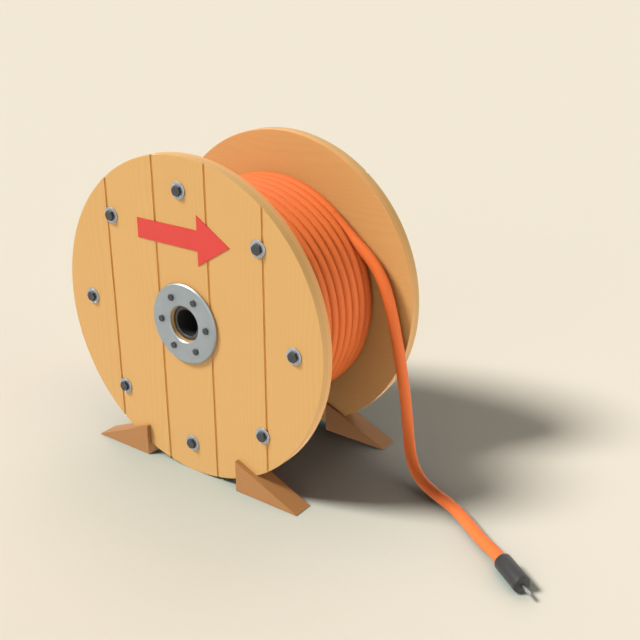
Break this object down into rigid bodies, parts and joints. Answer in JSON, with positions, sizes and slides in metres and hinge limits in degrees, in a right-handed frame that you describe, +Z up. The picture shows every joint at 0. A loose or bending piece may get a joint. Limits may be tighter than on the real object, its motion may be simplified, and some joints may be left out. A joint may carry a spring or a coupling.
{
  "type": "wooden cable drum",
  "caption": "Wooden drum holding a winding of thick sheathed cable, chocked on the floor, with its free cable end run out and capped.",
  "frame": {"origin": "on the floor, under the middle of the drum", "axes": "+Z up, +Y along the drum's axis from the flange with the arrow to the plain one, +X to the side where the cable runs out"},
  "size_m": [1.0213, 0.3376, 0.6294],
  "materials": {
    "board_wood": "smooth pale softwood",
    "lining_wood": "plain softwood",
    "barrel_wood": "plain softwood",
    "chock_wood": "plain softwood",
    "cable_sheath": "satin orange",
    "cap_rubber": "dark grey, satin",
    "screw_steel": "dark, satin",
    "washer_steel": "satin zinc grey",
    "plate_steel": "satin grey",
    "tube_steel": "dull grey",
    "conductor_metal": "bright drawn",
    "arrow_paint": "flat red paint"
  },
  "bodies": {
    "root": {"front_board_1": "board_wood", "front_board_2": "board_wood", "front_board_3": "board_wood", "front_board_4": "board_wood", "front_board_5": "board_wood", "front_lining": "lining_wood", "rear_board_1": "board_wood", "rear_board_2": "board_wood", "rear_board_3": "board_wood", "rear_board_4": "board_wood", "rear_board_5": "board_wood", "rear_lining": "lining_wood", "front_washer_1": "washer_steel", "front_coach_screw_1": "screw_steel", "front_washer_2": "washer_steel", "front_coach_screw_2": "screw_steel", "front_washer_3": "washer_steel", "front_coach_screw_3": "screw_steel", "front_washer_4": "washer_steel", "front_coach_screw_4": "screw_steel", "front_washer_5": "washer_steel", "front_coach_screw_5": "screw_steel", "front_washer_6": "washer_steel", "front_coach_screw_6": "screw_steel", "front_washer_7": "washer_steel", "front_coach_screw_7": "screw_steel", "front_washer_8": "washer_steel", "front_coach_screw_8": "screw_steel", "rear_washer_1": "washer_steel", "rear_coach_screw_1": "screw_steel", "rear_washer_2": "washer_steel", "rear_coach_screw_2": "screw_steel", "rear_washer_3": "washer_steel", "rear_coach_screw_3": "screw_steel", "rear_washer_4": "washer_steel", "rear_coach_screw_4": "screw_steel", "rear_washer_5": "washer_steel", "rear_coach_screw_5": "screw_steel", "rear_washer_6": "washer_steel", "rear_coach_screw_6": "screw_steel", "rear_washer_7": "washer_steel", "rear_coach_screw_7": "screw_steel", "rear_washer_8": "washer_steel", "rear_coach_screw_8": "screw_steel", "front_hub_packing": "board_wood", "front_hub_plate": "plate_steel", "rear_hub_packing": "board_wood", "rear_hub_plate": "plate_steel", "axle_tube": "tube_steel", "barrel": "barrel_wood", "free_cable": "cable_sheath", "cable_winding": "cable_sheath", "cable_end_cap": "cap_rubber", "conductor": "conductor_metal", "front_left_chock": "chock_wood", "front_right_chock": "chock_wood", "rear_left_chock": "chock_wood", "rear_right_chock": "chock_wood", "direction_arrow": "arrow_paint"}
  },
  "joints": []
}
